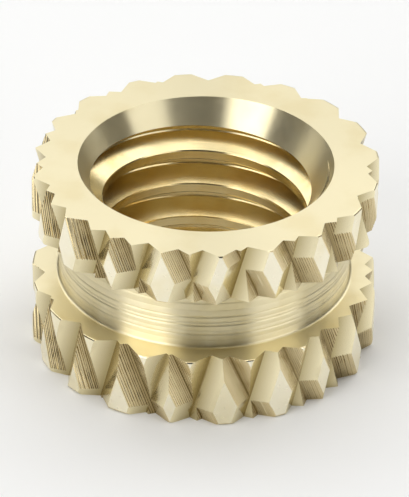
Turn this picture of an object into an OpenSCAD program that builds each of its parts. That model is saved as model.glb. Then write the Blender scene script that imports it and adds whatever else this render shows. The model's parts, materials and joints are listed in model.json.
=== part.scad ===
// Heat-set threaded insert, M5 x 0.8, turned from brass bar with two cross-knurled bands.
// All sizes in millimetres. +Z runs along the bore towards the countersunk end, and the origin is
// the centre of the bottom end face, on which the insert stands. The front is -Y.

/* [Body] */

// Metal between the thread's roots and the outside of the knurled bands
wall = 1.0; // [0.9:0.05:2]
// Length from end face to end face
body_l = 4.0; // [3.6:0.1:10]
// Height of the knurled band at the bottom end
low_band_h = 1.5; // [1:0.05:2]
// Height of the knurled band at the countersunk end
top_band_h = 1.15; // [0.8:0.05:1.5]
// How far the plain neck lies under the outside of the bands
neck_drop = 0.55; // [0.42:0.01:0.7]
// Broken outer edge at the bottom end, which goes into the plastic first
lead_c = 0.06; // [0.03:0.01:0.3]
// Broken outer edge at the countersunk end
rim_c = 0.04; // [0.02:0.01:0.1]
// Broken edges where the bands meet the neck
neck_c = 0.04; // [0.02:0.01:0.1]

/* [Bore] */

// Thread major diameter, M5, which the outside diameter follows
thread_d = 5.0; // [3:0.5:8]
// Thread pitch
thread_pitch = 0.8; // [0.5:0.05:0.8]
// How much wider than the thread the mouth of the countersink is
mouth_over = 0.16; // [0:0.02:0.4]
// Slope of the countersink wall from the axis
mouth_a = 35; // [25:1:50]
// Width of the 45 degree chamfer at the other end of the bore
exit_c = 0.16; // [0.05:0.01:0.4]

/* [Knurl] */

// Grooves round the insert that climb to the right
right_count = 20; // [16:1:22]
// Grooves round the insert that climb to the left
left_count = 19; // [16:1:22]
// Slope from the axis of the grooves that climb to the right
right_lean = 16.5; // [12:0.5:30]
// Slope from the axis of the grooves that climb to the left
left_lean = 24; // [12:0.5:30]
// First right-climbing groove: degrees round from the front, halfway up the top band
right_start = -4.6; // [-9:0.1:9]
// First left-climbing groove, in the same way
left_start = 14; // [0:0.1:18]
// Angle between the two walls of a groove
groove_v = 108; // [90:1:116]
// Depth of a groove
groove_depth = 0.25; // [0.15:0.01:0.32]
// How far a groove sits off its even place, in degrees
groove_wander = 1.2; // [0:0.1:2]
// How much the depth varies from groove to groove
depth_wander = 0.03; // [0:0.005:0.04]

/* [Hidden] */

$fn = 96;

// Over the knurled bands, 7.0 across
outer_r = thread_d / 2 + wall;
neck_r = outer_r - neck_drop;
// Radius at the crests of a 60 degree thread, which are a quarter of the pitch wide
minor_r = (thread_d - 1.0825 * thread_pitch) / 2;
mouth_r = (thread_d + mouth_over) / 2;
mouth_depth = (mouth_r - minor_r) / tan(mouth_a);
neck_top_z = body_l - top_band_h;
// The knurl's places are counted from halfway up the top band
knurl_z = body_l - top_band_h / 2;
brass = [0.86, 0.74, 0.45];
over = 0.1;

// Half of the turned section, radius across and height up
module turned_section() {
  polygon([
    [minor_r + exit_c, 0],
    [outer_r - lead_c, 0],
    [outer_r, lead_c],
    [outer_r, low_band_h - neck_c],
    [outer_r - neck_c, low_band_h],
    [neck_r, low_band_h],
    [neck_r, neck_top_z],
    [outer_r - neck_c, neck_top_z],
    [outer_r, neck_top_z + neck_c],
    [outer_r, body_l - rim_c],
    [outer_r - rim_c, body_l],
    [mouth_r, body_l],
    [minor_r, body_l - mouth_depth],
    [minor_r, exit_c]
  ]);
}

// One straight V cut, on the outside of the body and leaning across a band
module groove(lean, depth, band_h) {
  half_w = (depth + over) * tan(groove_v / 2);
  cut_l = (band_h + 2 * half_w * sin(abs(lean))) / cos(lean) + over;
  translate([outer_r, 0, 0])
    rotate([-lean, 0, 0])
      linear_extrude(height = cut_l, center = true)
        polygon([[-depth, 0], [over, -half_w], [over, half_w]]);
}

// All the grooves of one hand round a band, each on the helix that it has on the other band too
module groove_set(count, lean, start, mid_z, band_h) {
  drift = (mid_z - knurl_z) * tan(lean) / outer_r * 180 / PI;
  for (i = [0 : count - 1]) {
    off = groove_wander * sin(i * 137 + count * 41);
    depth = groove_depth + depth_wander * cos(i * 101 + count * 67);
    rotate([0, 0, start + drift + off + i * 360 / count - 90])
      translate([0, 0, mid_z])
        groove(lean, depth, band_h);
  }
}

module band_knurl(mid_z, band_h) {
  groove_set(right_count, right_lean, right_start, mid_z, band_h);
  groove_set(left_count, -left_lean, left_start, mid_z, band_h);
}

// The insert: a turned body with the knurl cut into both bands
module insert_body() {
  color(brass)
    difference() {
      rotate_extrude() turned_section();
      band_knurl(low_band_h / 2, low_band_h);
      band_knurl(knurl_z, top_band_h);
    }
}

insert_body();
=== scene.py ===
import json
import math
import bmesh
import bpy
from mathutils import Matrix, Vector

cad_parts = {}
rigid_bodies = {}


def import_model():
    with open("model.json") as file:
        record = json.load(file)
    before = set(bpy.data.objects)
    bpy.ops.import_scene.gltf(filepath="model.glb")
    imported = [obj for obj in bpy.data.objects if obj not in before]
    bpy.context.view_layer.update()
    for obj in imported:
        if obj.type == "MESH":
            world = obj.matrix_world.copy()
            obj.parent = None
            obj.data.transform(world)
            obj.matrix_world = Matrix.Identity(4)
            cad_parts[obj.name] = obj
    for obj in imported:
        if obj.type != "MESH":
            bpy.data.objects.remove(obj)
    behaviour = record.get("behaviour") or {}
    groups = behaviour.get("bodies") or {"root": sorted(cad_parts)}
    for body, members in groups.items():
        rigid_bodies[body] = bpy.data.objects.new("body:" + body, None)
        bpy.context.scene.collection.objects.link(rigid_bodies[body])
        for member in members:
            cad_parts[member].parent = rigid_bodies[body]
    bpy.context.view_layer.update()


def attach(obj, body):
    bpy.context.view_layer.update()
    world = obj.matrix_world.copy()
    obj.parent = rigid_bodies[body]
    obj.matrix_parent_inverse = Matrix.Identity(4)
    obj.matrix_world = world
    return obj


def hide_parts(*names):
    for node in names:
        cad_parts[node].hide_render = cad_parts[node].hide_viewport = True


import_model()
millimetre = 0.001   # the insert is modelled in millimetres and scaled down once, at the end
mergeGap = 1e-5      # vertices nearer to each other than this, in millimetres, become one


def clearSelection():
    if bpy.context.object and bpy.context.object.mode != "OBJECT":
        bpy.ops.object.mode_set(mode="OBJECT")
    bpy.ops.object.select_all(action="DESELECT")


def makeActive(piece):
    clearSelection()
    piece.select_set(True)
    bpy.context.view_layer.objects.active = piece


# An outline drawn point by point: a plane collapsed to one vertex, which is then extruded along
def drawOutline(name, points, closed=True, filled=False):
    clearSelection()
    bpy.ops.mesh.primitive_plane_add(size=0.1)
    piece = bpy.context.object
    piece.name = name
    piece.data.name = name
    bpy.ops.object.mode_set(mode="EDIT")
    bpy.ops.mesh.select_mode(type="VERT")
    bpy.ops.mesh.select_all(action="SELECT")
    bpy.ops.mesh.merge(type="CENTER")
    bpy.ops.transform.translate(value=points[0])
    for start, end in zip(points, points[1:]):
        step = Vector(end) - Vector(start)
        bpy.ops.mesh.extrude_vertices_move(TRANSFORM_OT_translate={"value": step})
    bpy.ops.object.mode_set(mode="OBJECT")
    for vertex in piece.data.vertices:
        vertex.select = vertex.index in (0, len(points) - 1)
    bpy.ops.object.mode_set(mode="EDIT")
    if closed:
        bpy.ops.mesh.edge_face_add()
    bpy.ops.mesh.select_all(action="SELECT")
    if filled:
        bpy.ops.mesh.edge_face_add()
    bpy.ops.object.mode_set(mode="OBJECT")
    return piece


def tidyNormals(piece):
    makeActive(piece)
    bpy.ops.object.mode_set(mode="EDIT")
    bpy.ops.mesh.select_all(action="SELECT")
    bpy.ops.mesh.remove_doubles(threshold=mergeGap)
    bpy.ops.mesh.normals_make_consistent(inside=False)
    bpy.ops.object.mode_set(mode="OBJECT")


def cutAway(piece, cutter):
    makeActive(piece)
    cut = piece.modifiers.new("Cut", "BOOLEAN")
    cut.operation = "DIFFERENCE"
    cut.solver = "MANIFOLD"
    cut.object = cutter
    bpy.ops.object.modifier_apply(modifier=cut.name)
    bpy.data.objects.remove(cutter)
    print(f"cut {piece.name}: {len(piece.data.polygons)} faces")


# The turned body

body = {
    "length": 4.0, "outerR": 3.5, "neckR": 2.95, "lowBand": 1.5, "topBand": 1.15,
    "leadEdge": 0.06, "rimEdge": 0.04, "neckEdge": 0.04,
    "holeR": 1.85,               # narrower than the thread, which then opens it
    "mouthR": 2.58, "mouthSlope": 35.0, "exitR": 2.227,
    "neckFillet": 0.06,          # the tool's nose radius at both ends of the neck
    # height above the lower band, depth
    "neckRings": [(0.17, 0.007), (0.30, 0.012), (0.40, 0.008), (0.52, 0.014), (0.60, 0.010),
                  (0.72, 0.012), (0.88, 0.007), (1.05, 0.009), (1.19, 0.011)],
    "ringWidth": 0.030,
    "steps": 216, "arcStep": 15,   # steps round the axis, and degrees between the points of a rounded edge
}


def turnBody(size):
    slope = math.tan(math.radians(size["mouthSlope"]))
    neckTop = size["length"] - size["topBand"]
    fillet = size["neckFillet"]
    outer, neck, low = size["outerR"], size["neckR"], size["lowBand"]
    arc = [math.radians(a) for a in range(0, 91, size["arcStep"])]

    # From a flat face at z round to the outside, which lies above it or below
    def roundEdge(z, soft, way):
        return [(outer - soft * (1 - math.sin(a)), z + way * soft * (1 - math.cos(a))) for a in arc]

    # From a band's ledge at z down into the neck
    def fillNeck(z, way):
        return [(neck + fillet * (1 - math.sin(a)), z + way * fillet * (1 - math.cos(a))) for a in arc]

    section = [(size["exitR"], 0.0)]
    section += roundEdge(0.0, size["leadEdge"], 1)
    section += reversed(roundEdge(low, size["neckEdge"], -1))
    section += fillNeck(low, 1)
    for height, depth in size["neckRings"]:
        z = low + height
        section += [(neck, z - size["ringWidth"]), (neck - depth, z), (neck, z + size["ringWidth"])]
    section += reversed(fillNeck(neckTop, -1))
    section += roundEdge(neckTop, size["neckEdge"], 1)
    section += reversed(roundEdge(size["length"], size["rimEdge"], -1))
    section += [
        (size["mouthR"], size["length"]),
        (size["holeR"], size["length"] - (size["mouthR"] - size["holeR"]) / slope),
        (size["holeR"], size["exitR"] - size["holeR"]),
    ]
    piece = drawOutline("threadedInsert", [(r, 0, z) for r, z in section])
    bpy.ops.object.mode_set(mode="EDIT")
    bpy.ops.mesh.select_all(action="SELECT")
    bpy.ops.mesh.spin(steps=size["steps"], angle=math.tau, center=(0, 0, 0), axis=(0, 0, 1))
    bpy.ops.object.mode_set(mode="OBJECT")
    tidyNormals(piece)
    print(f"turned body: {len(piece.data.polygons)} faces")
    return piece


# The M5 thread, as the tap that cuts it: one pitch of its outline wound up the bore

thread = {
    "pitch": 0.8, "majorR": 2.5, "minorR": 2.067,
    "rootHalf": 0.05, "minorHalf": 0.30,   # half widths of the groove at its root and at the minor radius
    "rounding": 0.016, "roundingAlong": 0.6,   # the corners' cut outwards, and its share along the axis
    "startZ": -1.7,   # height of the groove's middle on the +X side, below the insert
    "turns": 8, "reach": 0.3,
    "mergeGap": 1e-4,   # joins each turn to the next
}


def windThread(size, shape):
    wide, narrow, soft = size["minorHalf"], size["rootHalf"], size["rounding"]
    minor, major, along = size["minorR"], size["majorR"], soft * size["roundingAlong"]
    half = [
        (minor, size["pitch"] / 2), (minor, wide + soft), (minor + soft, wide - along),
        (major - soft, narrow + along), (major, narrow - soft),
    ]
    outline = [(r, -z) for r, z in half] + [(r, z) for r, z in reversed(half)]
    tap = drawOutline("threadTap", [(r, 0, size["startZ"] + z) for r, z in outline], closed=False)
    makeActive(tap)
    wind = tap.modifiers.new("Wind", "SCREW")
    wind.axis = "Z"
    wind.angle = math.tau
    wind.screw_offset = size["pitch"]
    wind.iterations = size["turns"]
    wind.steps = wind.render_steps = shape["steps"]
    wind.use_merge_vertices = True
    wind.merge_threshold = size["mergeGap"]
    bpy.ops.object.modifier_apply(modifier=wind.name)
    bpy.ops.object.mode_set(mode="EDIT")
    bpy.ops.mesh.select_all(action="SELECT")
    bpy.ops.mesh.remove_doubles(threshold=size["mergeGap"])
    for z, up in ((-size["reach"], -1), (shape["length"] + size["reach"], 1)):
        bpy.ops.mesh.select_all(action="SELECT")
        bpy.ops.mesh.bisect(plane_co=(0, 0, z), plane_no=(0, 0, up), use_fill=True, clear_outer=True)
    bpy.ops.mesh.select_all(action="SELECT")
    halfStep = math.pi / shape["steps"]   # keeps the tap's edges off the body's
    bpy.ops.transform.rotate(value=halfStep, orient_axis="Z", center_override=(0, 0, 0))
    bpy.ops.object.mode_set(mode="OBJECT")
    tidyNormals(tap)
    return tap


# The knurl: V grooves of two hands that run as helices over both bands, and tool scratches along the
# left-hand ones. The bars that cut them stand upright round the body and are then twisted together

knurl = {
    "wallAngle": 54.0,           # half of the V
    "depth": 0.25, "depthWander": 0.03, "placeWander": 1.2,
    # degrees of the wander from one groove to the next, and of its start for each groove in the set
    "depthSteps": (101, 67), "placeSteps": (137, 41),
    "shoulder": 0.026, "shoulderSlope": 17.0,   # where a wall eases over into the outside
    "outside": 0.05,
    # starts are degrees from the front, halfway up the top band
    "rightCount": 20, "rightLean": 16.5, "rightStart": -4.6,
    "leftCount": 19, "leftLean": 24.0, "leftStart": 14.0,
    "runOut": 0.3, "segments": 16,
    # distance up a wall, depth
    "scratches": [(0.045, 0.005), (0.085, 0.008), (0.13, 0.005), (0.165, 0.006), (0.215, 0.009),
                  (0.26, 0.005), (0.30, 0.008), (0.345, 0.005), (0.385, 0.007)],
    "scratchHalf": 0.016, "scratchLift": 0.004,
    "scratchStagger": 0.012,     # up one wall and down the other
}


# A standing bar of one outline, long enough to pass the whole insert
def raiseBar(name, points, size, shape):
    bar = drawOutline(name, points, filled=True)
    bpy.ops.object.mode_set(mode="EDIT")
    bpy.ops.mesh.select_all(action="SELECT")
    bpy.ops.transform.translate(value=(0, 0, -size["runOut"]))
    step = (shape["length"] + 2 * size["runOut"]) / size["segments"]
    for _ in range(size["segments"]):
        bpy.ops.mesh.extrude_region_move(TRANSFORM_OT_translate={"value": (0, 0, step)})
    bpy.ops.object.mode_set(mode="OBJECT")
    tidyNormals(bar)
    return bar


def joinPieces(pieces):
    clearSelection()
    for piece in pieces:
        piece.select_set(True)
    bpy.context.view_layer.objects.active = pieces[0]
    bpy.ops.object.join()
    return bpy.context.object


# The outline of a groove, with x outwards from the outside of the band
def makeGrooveBar(size, shape):
    half = math.radians(size["wallAngle"])
    wall = (size["depth"] - size["shoulder"]) * math.tan(half)
    lip = wall + size["shoulder"] / math.tan(math.radians(size["shoulderSlope"]))
    side = [(-size["shoulder"], wall), (0, lip), (size["outside"], lip)]
    points = [(-size["depth"], 0, 0)]
    points += [(x, -y, 0) for x, y in side]
    points += [(x, y, 0) for x, y in reversed(side)]
    return raiseBar("groove", points, size, shape)


# The scratches of both walls of one groove, as thin bars that lie on the walls
def makeScratchBars(size, shape):
    half = math.radians(size["wallAngle"])
    bars = []
    for side in (-1, 1):
        along = Vector((math.cos(half), side * math.sin(half), 0))
        inward = Vector((-math.sin(half), side * math.cos(half), 0))
        for place, depth in size["scratches"]:
            spot = Vector((-size["depth"], 0, 0)) + along * (place + side * size["scratchStagger"])
            edge = along * size["scratchHalf"]
            above = inward * -size["scratchLift"]
            points = [spot - edge + above, spot + inward * depth, spot + edge + above]
            bars.append(raiseBar("scratch", points, size, shape))
    return joinPieces(bars)


def windKnurl(first, size, shape, hand):
    count = size[hand + "Count"]
    lean = math.radians(size[hand + "Lean"]) * (1 if hand == "right" else -1)
    turnPerHeight = math.tan(lean) / shape["outerR"]
    drift = -turnPerHeight * (shape["length"] - shape["topBand"] / 2)
    (perPlace, placeShift), (perDepth, depthShift) = size["placeSteps"], size["depthSteps"]
    copies = []
    for i in range(count):
        off = size["placeWander"] * math.sin(math.radians(i * perPlace + count * placeShift))
        wander = math.cos(math.radians(i * perDepth + count * depthShift))
        deeper = 1 + size["depthWander"] / size["depth"] * wander
        turn = math.radians(size[hand + "Start"] + off + i * 360 / count - 90) + drift
        makeActive(first)
        bpy.ops.object.duplicate(linked=False)
        copy = bpy.context.object
        copy.matrix_world = (
            Matrix.Rotation(turn, 4, "Z")
            @ Matrix.Translation((shape["outerR"], 0, 0))
            @ Matrix.Diagonal((deeper, deeper / math.cos(lean), 1, 1))
        )
        copies.append(copy)
    bpy.data.objects.remove(first)
    cutter = joinPieces(copies)
    bpy.ops.object.transform_apply(location=True, rotation=True, scale=True)
    twist = cutter.modifiers.new("Twist", "SIMPLE_DEFORM")
    twist.deform_method = "TWIST"
    twist.deform_axis = "Z"
    twist.angle = turnPerHeight * (shape["length"] + 2 * size["runOut"])
    bpy.ops.object.modifier_apply(modifier=twist.name)
    tidyNormals(cutter)
    return cutter


shading = {
    "sharpness": 16,    # degrees between two faces whose edge stays sharp
    "level": 0.9999,    # how upright the normal of an end face or a ledge is
}


def selectRims(piece, level):
    makeActive(piece)
    bpy.ops.object.mode_set(mode="EDIT")
    bpy.ops.mesh.select_mode(type="EDGE")
    bpy.ops.mesh.select_all(action="DESELECT")
    cage = bmesh.from_edit_mesh(piece.data)
    for edge in cage.edges:
        flat = [abs(face.normal.z) > level for face in edge.link_faces]
        edge.select_set(len(flat) == 2 and flat[0] != flat[1])
    bmesh.update_edit_mesh(piece.data)
    bpy.ops.object.mode_set(mode="OBJECT")


# Walls and end faces keep their own shading right up to their edges
def settleShading(piece, rules):
    selectRims(piece, rules["level"])
    rims = [edge.index for edge in piece.data.edges if edge.select]
    bpy.ops.object.shade_smooth()
    piece.data.set_sharp_from_angle(angle=math.radians(rules["sharpness"]))
    for index in rims:
        piece.data.edges[index].use_edge_sharp = True
    weigh = piece.modifiers.new("Weigh", "WEIGHTED_NORMAL")
    weigh.keep_sharp = True
    bpy.ops.object.modifier_apply(modifier=weigh.name)


insert = turnBody(body)
cutAway(insert, windThread(thread, body))
for hand in ("right", "left"):
    cutAway(insert, windKnurl(makeGrooveBar(knurl, body), knurl, body, hand))
cutAway(insert, windKnurl(makeScratchBars(knurl, body), knurl, body, "left"))
makeActive(insert)
bpy.ops.object.mode_set(mode="EDIT")
bpy.ops.mesh.select_all(action="SELECT")
bpy.ops.transform.resize(value=(millimetre,) * 3, center_override=(0, 0, 0))
bpy.ops.object.mode_set(mode="OBJECT")
settleShading(insert, shading)
print(f"insert: {len(insert.data.polygons)} faces")


# Finishes

def addNode(tree, kind, place, **values):
    node = tree.nodes.new(kind)
    node.location = place
    for name, value in values.items():
        setattr(node, name, value)
    return node


def setInputs(node, values):
    for name, value in values.items():
        node.inputs[name].default_value = value


def addMath(tree, place, operation, *sources):
    node = addNode(tree, "ShaderNodeMath", place, operation=operation)
    for source, socket in zip(sources, node.inputs):
        tree.links.new(source, socket)
    return node.outputs[0]


def addNoise(tree, place, values, vector, dimensions="3D"):
    noise = addNode(tree, "ShaderNodeTexNoise", place, noise_dimensions=dimensions)
    setInputs(noise, values)
    tree.links.new(vector, noise.inputs["Vector"])
    return noise


# The spot with its height left out, and its distance from the axis
def addRadius(tree, place, vector):
    flat = addNode(tree, "ShaderNodeVectorMath", place, operation="MULTIPLY")
    flat.inputs[1].default_value = (1, 1, 0)
    tree.links.new(vector, flat.inputs[0])
    radius = addNode(tree, "ShaderNodeVectorMath", (place[0] + 180, place[1] + 80), operation="LENGTH")
    tree.links.new(flat.outputs[0], radius.inputs[0])
    return flat.outputs[0], radius.outputs["Value"]


def addSocket(group, name, way, kind="NodeSocketFloat", value=None):
    socket = group.interface.new_socket(name=name, in_out=way, socket_type=kind)
    if value is not None:
        socket.default_value = value


textures = {
    "toolMarks": {"Scale": 1.0, "Detail": 3.0, "Roughness": 0.6},    # its vector already counts lines
    "patches": {"Scale": 1.1, "Detail": 4.0},
    "patchRange": {"From Min": 0.42, "From Max": 0.72},
    "grain": {"Scale": 9.0, "Detail": 3.0},
    "grainRange": {"From Min": 0.3, "From Max": 0.7},
    "streakR": 3.4,    # where the streaks in the grooves have their true width
    "darkestShadeR": 3.24,     # painted shade: the grooves are at their darkest from here inwards
}


# Fine rings round the axis, left by the lathe tool. Its vector is in millimetres
def makeTurningMarks(look):
    group = bpy.data.node_groups.new("turningMarks", "ShaderNodeTree")
    addSocket(group, "Vector", "INPUT", "NodeSocketVector")
    addSocket(group, "Lines per mm", "INPUT")
    addSocket(group, "Drift", "INPUT")
    addSocket(group, "Height", "OUTPUT")
    source = addNode(group, "NodeGroupInput", (-900, 0)).outputs
    end = addNode(group, "NodeGroupOutput", (500, 0)).inputs
    link = group.links.new
    flat, radius = addRadius(group, (-700, 100), source["Vector"])
    around = addNode(group, "ShaderNodeVectorMath", (-520, 20), operation="NORMALIZE")
    link(flat, around.inputs[0])
    drifted = addNode(group, "ShaderNodeVectorMath", (-350, 20), operation="SCALE")
    link(around.outputs[0], drifted.inputs[0])
    link(source["Drift"], drifted.inputs["Scale"])
    turn = addNode(group, "ShaderNodeSeparateXYZ", (-180, 20))
    link(drifted.outputs[0], turn.inputs[0])
    height = addNode(group, "ShaderNodeSeparateXYZ", (-700, -140))
    link(source["Vector"], height.inputs[0])
    across = addMath(group, (-350, 220), "MULTIPLY", radius, source["Lines per mm"])
    up = addMath(group, (-350, -180), "MULTIPLY", height.outputs["Z"], source["Lines per mm"])
    spot = addNode(group, "ShaderNodeCombineXYZ", (0, 100))
    link(across, spot.inputs["X"])
    link(up, spot.inputs["Y"])
    link(turn.outputs["X"], spot.inputs["Z"])
    rings = addNoise(group, (200, 60), look["toolMarks"], spot.outputs[0], "4D")
    link(turn.outputs["Y"], rings.inputs["W"])
    link(rings.outputs["Fac"], end["Height"])
    return group


# Streaks along a groove of the knurl. Lean is the groove's slope from the axis, in radians
def makeGrooveMarks(look):
    group = bpy.data.node_groups.new("grooveMarks", "ShaderNodeTree")
    addSocket(group, "Vector", "INPUT", "NodeSocketVector")
    addSocket(group, "Lines per mm", "INPUT")
    addSocket(group, "Radius", "INPUT", value=look["streakR"])
    addSocket(group, "Lean", "INPUT")
    addSocket(group, "Height", "OUTPUT")
    source = addNode(group, "NodeGroupInput", (-900, 0)).outputs
    end = addNode(group, "NodeGroupOutput", (600, 0)).inputs
    link = group.links.new
    spot = addNode(group, "ShaderNodeSeparateXYZ", (-720, 0))
    link(source["Vector"], spot.inputs[0])
    azimuth = addMath(group, (-540, 120), "ARCTAN2", spot.outputs["Y"], spot.outputs["X"])
    along = addMath(group, (-360, 120), "MULTIPLY", azimuth, source["Radius"])
    slope = addMath(group, (-540, -120), "TANGENT", source["Lean"])
    shift = addMath(group, (-360, -80), "MULTIPLY", slope, spot.outputs["Z"])
    across = addMath(group, (-180, 60), "SUBTRACT", along, shift)
    lines = addMath(group, (0, 60), "MULTIPLY", across, source["Lines per mm"])
    place = addNode(group, "ShaderNodeCombineXYZ", (180, 60))
    link(lines, place.inputs["X"])
    link(spot.outputs["Z"], place.inputs["Y"])
    streaks = addNoise(group, (360, 60), look["toolMarks"], place.outputs[0])
    link(streaks.outputs["Fac"], end["Height"])
    return group


# Soft patches of handling and of thin oxide, as a tone for the colour and for the roughness. The
# grooves of the knurl also get a painted shade, darker towards their bottoms
def makeBrassTone(look, shape):
    group = bpy.data.node_groups.new("brassTone", "ShaderNodeTree")
    addSocket(group, "Vector", "INPUT", "NodeSocketVector")
    addSocket(group, "Clean", "INPUT", "NodeSocketColor")
    addSocket(group, "Dull and shade", "INPUT", "NodeSocketColor")
    addSocket(group, "Roughness low", "INPUT")
    addSocket(group, "Roughness high", "INPUT")
    addSocket(group, "Patches", "INPUT")
    addSocket(group, "Outside", "INPUT", value=shape["outerR"])
    addSocket(group, "Bottom", "INPUT", value=look["darkestShadeR"])
    addSocket(group, "Bottom shade", "INPUT")
    addSocket(group, "Color", "OUTPUT", "NodeSocketColor")
    addSocket(group, "Roughness", "OUTPUT")
    source = addNode(group, "NodeGroupInput", (-700, 0)).outputs
    end = addNode(group, "NodeGroupOutput", (500, 0)).inputs
    link = group.links.new
    patches = addNoise(group, (-500, 100), look["patches"], source["Vector"])
    dull = addNode(group, "ShaderNodeMapRange", (-300, 100), interpolation_type="SMOOTHSTEP")
    setInputs(dull, look["patchRange"])
    link(patches.outputs["Fac"], dull.inputs["Value"])
    link(source["Patches"], dull.inputs["To Max"])
    radius = addRadius(group, (-500, 320), source["Vector"])[1]
    # painted shade: the colour darkens into the grooves of the knurl, towards their bottoms
    shadeTowardsBottom = addNode(group, "ShaderNodeMapRange", (-140, 400))
    link(radius, shadeTowardsBottom.inputs["Value"])
    link(source["Outside"], shadeTowardsBottom.inputs["From Min"])
    link(source["Bottom"], shadeTowardsBottom.inputs["From Max"])
    link(source["Bottom shade"], shadeTowardsBottom.inputs["To Max"])
    patchesAndShade = addMath(group, (-120, 180), "MAXIMUM", dull.outputs["Result"], shadeTowardsBottom.outputs["Result"])
    tone = addNode(group, "ShaderNodeMix", (60, 120), data_type="RGBA")
    link(patchesAndShade, tone.inputs["Factor"])
    link(source["Clean"], tone.inputs["A"])
    link(source["Dull and shade"], tone.inputs["B"])
    grain = addNoise(group, (-500, -160), look["grain"], source["Vector"])
    rough = addNode(group, "ShaderNodeMapRange", (0, -120))
    setInputs(rough, look["grainRange"])
    link(grain.outputs["Fac"], rough.inputs["Value"])
    link(source["Roughness low"], rough.inputs["To Min"])
    link(source["Roughness high"], rough.inputs["To Max"])
    link(tone.outputs["Result"], end["Color"])
    link(rough.outputs["Result"], end["Roughness"])
    return group


turningMarks = makeTurningMarks(textures)
grooveMarks = makeGrooveMarks(textures)
brassTone = makeBrassTone(textures, body)

finishes = {
    "turnedBrass": {
        "clean": (0.89, 0.80, 0.53), "dull": (0.85, 0.745, 0.46), "rough": (0.29, 0.33), "stretch": 0.9,
        "marks": turningMarks, "lines": 14.0, "drift": 0.6, "bump": 0.0014, "patches": 1.0,
    },
    "neckBrass": {
        "clean": (0.90, 0.81, 0.55), "dull": (0.84, 0.73, 0.43), "rough": (0.37, 0.41), "stretch": 0.95,
        "marks": turningMarks, "lines": 18.0, "drift": 0.5, "bump": 0.0022, "patches": 1.0,
    },
    # The thread's deeper, darker gold is painted shade inside the bore
    "threadShadedBrass": {
        "clean": (0.87, 0.73, 0.40), "dull": (0.80, 0.62, 0.28), "rough": (0.21, 0.27), "stretch": 0.5,
        "marks": turningMarks, "lines": 20.0, "drift": 1.2, "bump": 0.0009, "patches": 1.0,
    },
    # The crest finish's paler, creamier colour is a painted highlight on the outsides of the bands
    "crestHighlightBrass": {    # the outsides of the bands, between the grooves
        "clean": (0.96, 0.90, 0.71), "dull": (0.92, 0.84, 0.60), "rough": (0.27, 0.33), "stretch": 0.6,
        "marks": turningMarks, "lines": 14.0, "drift": 0.6, "bump": 0.0014, "patches": 1.0,
    },
    # The two groove finishes are lit and shaded copies of one brass: the right-hand grooves' lighter
    # colour is painted light, the left-hand grooves' darker colour painted shade
    "rightGrooveLitBrass": {
        "clean": (0.92, 0.83, 0.56), "dull": (0.38, 0.30, 0.13), "rough": (0.13, 0.18),
        # its dark dull colour is mostly painted shade, laid on towards the groove bottoms
        "patches": 0.25, "bottomShade": 0.85,
        "marks": grooveMarks, "lines": 16.0, "lean": knurl["rightLean"], "bump": 0.0016,
    },
    "leftGrooveShadedBrass": {
        "clean": (0.78, 0.66, 0.40), "dull": (0.28, 0.21, 0.09), "rough": (0.15, 0.20),
        # its dark dull colour is mostly painted shade, laid on towards the groove bottoms
        "patches": 0.25, "bottomShade": 0.9,
        "marks": grooveMarks, "lines": 18.0, "lean": -knurl["leftLean"], "bump": 0.0022,
    },
}


def makeBrass(name, look):
    material = bpy.data.materials.new(name)
    material.use_nodes = True
    tree = material.node_tree
    link = tree.links.new
    shader = tree.nodes["Principled BSDF"]
    shader.location = (500, 0)
    setInputs(shader, {"Metallic": 1.0})
    if "stretch" in look:    # gloss drawn out across the turning marks, hence the quarter turn
        setInputs(shader, {"Anisotropic": look["stretch"], "Anisotropic Rotation": 0.25})
    coordinates = addNode(tree, "ShaderNodeTexCoord", (-700, 0))
    inMillimetres = addNode(tree, "ShaderNodeMapping", (-500, 0))
    setInputs(inMillimetres, {"Scale": (1 / millimetre,) * 3})
    link(coordinates.outputs["Object"], inMillimetres.inputs["Vector"])
    tone = addNode(tree, "ShaderNodeGroup", (0, 120), node_tree=brassTone)
    roughLow, roughHigh = look["rough"]
    setInputs(tone, {
        "Clean": (*look["clean"], 1), "Dull and shade": (*look["dull"], 1),
        "Roughness low": roughLow, "Roughness high": roughHigh,
        # the dull colour reached towards the groove bottoms is painted shade
        "Patches": look["patches"], "Bottom shade": look.get("bottomShade", 0.0),
    })
    link(inMillimetres.outputs[0], tone.inputs["Vector"])
    link(tone.outputs["Color"], shader.inputs["Base Color"])
    link(tone.outputs["Roughness"], shader.inputs["Roughness"])
    marks = addNode(tree, "ShaderNodeGroup", (0, -160), node_tree=look["marks"])
    setInputs(marks, {"Lines per mm": look["lines"]})
    if "drift" in look:
        setInputs(marks, {"Drift": look["drift"]})
    if "lean" in look:
        setInputs(marks, {"Lean": math.radians(look["lean"])})
    link(inMillimetres.outputs[0], marks.inputs["Vector"])
    bump = addNode(tree, "ShaderNodeBump", (250, -160))
    setInputs(bump, {"Strength": 1.0, "Distance": look["bump"] * millimetre})
    link(marks.outputs["Height"], bump.inputs["Height"])
    link(bump.outputs["Normal"], shader.inputs["Normal"])
    return material


# Which finish a face has is told by its place, in millimetres, and by its normal

places = {
    "flat": 0.99,                      # the end faces and the ledges
    "cone": 0.995, "coneFrom": 3.2,    # the countersink, above where the thread runs out into it
    "neckMargin": 0.01,
    "crestMargin": 0.0015, "crestTilt": 0.3,
    "grooveMargin": 0.2, "grooveTilt": 0.9,
}


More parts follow.
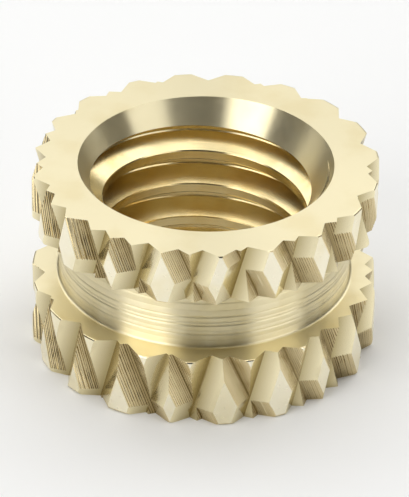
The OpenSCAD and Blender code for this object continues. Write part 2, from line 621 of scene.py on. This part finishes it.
def paintInsert(piece, shape, limits):
    piece.data.materials.clear()
    order = list(finishes)
    for name in order:
        piece.data.materials.append(makeBrass(name, finishes[name]))
    slope = math.radians(shape["mouthSlope"])
    neckTop = shape["length"] - shape["topBand"]
    neckR = shape["neckR"] + limits["neckMargin"]
    crestR = shape["outerR"] - limits["crestMargin"]
    grooveR = shape["neckR"] + limits["grooveMargin"]
    upward = Vector((0, 0, 1))
    for face in piece.data.polygons:
        centre = face.center / millimetre
        normal = face.normal
        tilt = abs(normal.z)
        r = math.hypot(centre.x, centre.y)
        outward = Vector((centre.x, centre.y, 0)).normalized()
        likeCone = normal.dot(upward * math.sin(slope) - outward * math.cos(slope)) > limits["cone"]
        onCone = likeCone and centre.z > limits["coneFrom"]
        finish = "turnedBrass"
        if tilt <= limits["flat"]:
            if r < shape["mouthR"] and not onCone:
                finish = "threadShadedBrass"
            elif r < neckR and shape["lowBand"] < centre.z < neckTop:
                finish = "neckBrass"
            elif r > crestR and tilt < limits["crestTilt"]:
                finish = "crestHighlightBrass"
            elif r > grooveR and tilt < limits["grooveTilt"]:
                lean = math.copysign(1, normal.dot(upward.cross(outward))) * normal.z
                finish = "leftGrooveShadedBrass" if lean > 0 else "rightGrooveLitBrass"
        face.material_index = order.index(finish)


paintInsert(insert, body, places)
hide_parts("insert_body")
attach(insert, "root")
print("finishes done")


# Floor, lamps and camera

studio = {
    "floorColor": (0.95, 0.95, 0.94), "floorSize": 2.0, "floorRoughness": 0.7, "floorShine": 0.1,
    "worldLevel": 0.04,
    "target": (0, 0, 0.002),
    # azimuth from the front (to the right is positive), elevation, then distance, width and height in
    # millimetres, and radiance
    "lamps": {
        "leftBox": (-43, 26, 150, 100, 150, 2.2),
        "rightBox": (56, 17, 150, 100, 76, 1.9),
        "leftSide": (-125, 40, 150, 90, 120, 0.8),
        "rightSide": (130, 40, 150, 90, 120, 0.8),
        "leftTop": (-75, 66, 170, 80, 80, 1.8),
        "rightTop": (75, 66, 170, 80, 80, 1.8),
        "topBox": (0, 82, 170, 80, 50, 1.8),
        "backBox": (180, 54, 160, 240, 160, 1.34),
    },
}


# Places a lamp or the camera round the target and turns it that way
def aim(obj, azimuth, elevation, distance, target):
    a, e = math.radians(azimuth), math.radians(elevation)
    way = Vector((math.sin(a) * math.cos(e), -math.cos(a) * math.cos(e), math.sin(e)))
    obj.location = Vector(target) + way * distance
    obj.rotation_euler = (-way).to_track_quat("-Z", "Y").to_euler()


def setStudio(rig):
    clearSelection()
    bpy.ops.mesh.primitive_plane_add(size=rig["floorSize"], location=(0, 0, 0))
    floor = bpy.context.object
    floor.name = "floor"
    paper = bpy.data.materials.new("floorPaper")
    paper.use_nodes = True
    shader = paper.node_tree.nodes["Principled BSDF"]
    setInputs(shader, {
        "Base Color": (*rig["floorColor"], 1),
        "Roughness": rig["floorRoughness"], "Specular IOR Level": rig["floorShine"],
    })
    floor.data.materials.append(paper)
    world = bpy.data.worlds.new("studio")
    bpy.context.scene.world = world
    world.use_nodes = True
    sky = world.node_tree.nodes["Background"]
    setInputs(sky, {"Color": (1, 1, 1, 1), "Strength": rig["worldLevel"]})
    for name, (azimuth, elevation, distance, width, height, radiance) in rig["lamps"].items():
        light = bpy.data.lights.new(name, "AREA")
        light.shape = "RECTANGLE"
        light.size = width * millimetre
        light.size_y = height * millimetre
        light.energy = radiance * math.pi * light.size * light.size_y
        lamp = bpy.data.objects.new(name, light)
        bpy.context.scene.collection.objects.link(lamp)
        aim(lamp, azimuth, elevation, distance * millimetre, rig["target"])


view = {
    "azimuth": 0.0, "elevation": 32.7, "distance": 0.105,
    "imageWidth": 409, "insertPixels": 345,    # of the picture's width, how much the body takes
    "target": (0, 0, 0.00195), "roll": 1.0,
    "sensorWidth": 36, "clipStart": 0.001,
}


def setCamera(shot, shape):
    camera = bpy.data.cameras.new("camera")
    holder = bpy.data.objects.new("camera", camera)
    bpy.context.scene.collection.objects.link(holder)
    aim(holder, shot["azimuth"], shot["elevation"], shot["distance"], shot["target"])
    holder.rotation_euler.rotate_axis("Z", math.radians(shot["roll"]))
    focal = shot["insertPixels"] / (2 * shape["outerR"] * millimetre) * shot["distance"]
    camera.sensor_fit = "HORIZONTAL"
    camera.sensor_width = shot["sensorWidth"]
    camera.lens = focal / shot["imageWidth"] * camera.sensor_width
    camera.clip_start = shot["clipStart"]
    bpy.context.scene.camera = holder


setStudio(studio)
setCamera(view, body)
bpy.context.scene.view_settings.view_transform = "Standard"
print("studio done")
